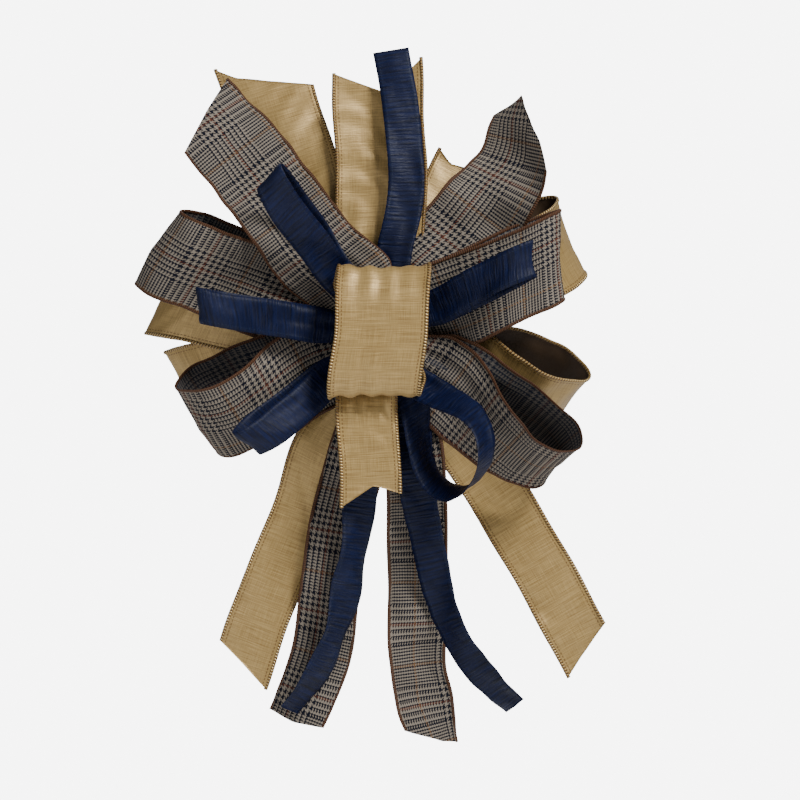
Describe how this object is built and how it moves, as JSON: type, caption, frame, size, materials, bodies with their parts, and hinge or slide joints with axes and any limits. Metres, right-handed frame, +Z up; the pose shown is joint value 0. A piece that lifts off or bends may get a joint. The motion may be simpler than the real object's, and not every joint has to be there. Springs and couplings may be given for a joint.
{
  "type": "ribbon gift bow",
  "caption": "Layered wired-ribbon gift bow with open loops, a centre loop and long tails, pinched by a chenille wire tie with two bendable legs.",
  "frame": {"origin": "middle of the pinched bundle, inside the wire tie", "axes": "+Z up as the bow hangs, with the tails down; +Y to the back, along the twisted tie; +X to the right seen from the front"},
  "size_m": [0.3387, 0.1406, 0.4937],
  "materials": {
    "gold_ribbon": "champagne-gold slubbed taffeta, dark brown on the back, with a twisted gold metallic overlocked wired edge",
    "plaid_ribbon": "wool-look glen check in navy, black, cream and rust, with a rust-brown stitched wired edge",
    "navy_ribbon": "crinkled navy faux dupioni with a stitched hem along each wired edge",
    "tie_chenille": "brown chenille stem: short pile twisted into a thin wire"
  },
  "bodies": {
    "root": {"centre_loop": "gold_ribbon", "gold_loop_left_lower": "gold_ribbon", "gold_loop_left_upper": "gold_ribbon", "gold_loop_right": "gold_ribbon", "gold_loop_upper_right": "gold_ribbon", "gold_tail_bottom": "gold_ribbon", "gold_tail_lower_left": "gold_ribbon", "gold_tail_lower_right": "gold_ribbon", "gold_tail_top": "gold_ribbon", "gold_tail_upper_left": "gold_ribbon", "gold_tail_upper_right": "gold_ribbon", "navy_loop_left_lower": "navy_ribbon", "navy_loop_left_mid": "navy_ribbon", "navy_loop_right_lower": "navy_ribbon", "navy_loop_right_upper": "navy_ribbon", "navy_loop_upper_left": "navy_ribbon", "navy_tail_lower_left": "navy_ribbon", "navy_tail_lower_right": "navy_ribbon", "navy_tail_top": "navy_ribbon", "plaid_loop_left_lower": "plaid_ribbon", "plaid_loop_left_upper": "plaid_ribbon", "plaid_loop_right_lower": "plaid_ribbon", "plaid_loop_right_upper": "plaid_ribbon", "plaid_tail_lower_left": "plaid_ribbon", "plaid_tail_lower_right": "plaid_ribbon", "plaid_tail_upper_left": "plaid_ribbon", "plaid_tail_upper_right": "plaid_ribbon", "tie_band": "tie_chenille", "tie_twist": "tie_chenille"},
    "left_leg": {"tie_leg_left": "tie_chenille"},
    "right_leg": {"tie_leg_right": "tie_chenille"}
  },
  "joints": [
    {"name": "left_leg_bend", "type": "hinge", "parent": "root", "child": "left_leg", "pos_m": [-0.0021, 0.03355, 0], "axis": [0, 0, 1], "range_deg": [-60, 15]},
    {"name": "right_leg_bend", "type": "hinge", "parent": "root", "child": "right_leg", "pos_m": [0.0021, 0.03355, 0], "axis": [0, 0, 1], "range_deg": [-15, 60]}
  ]
}
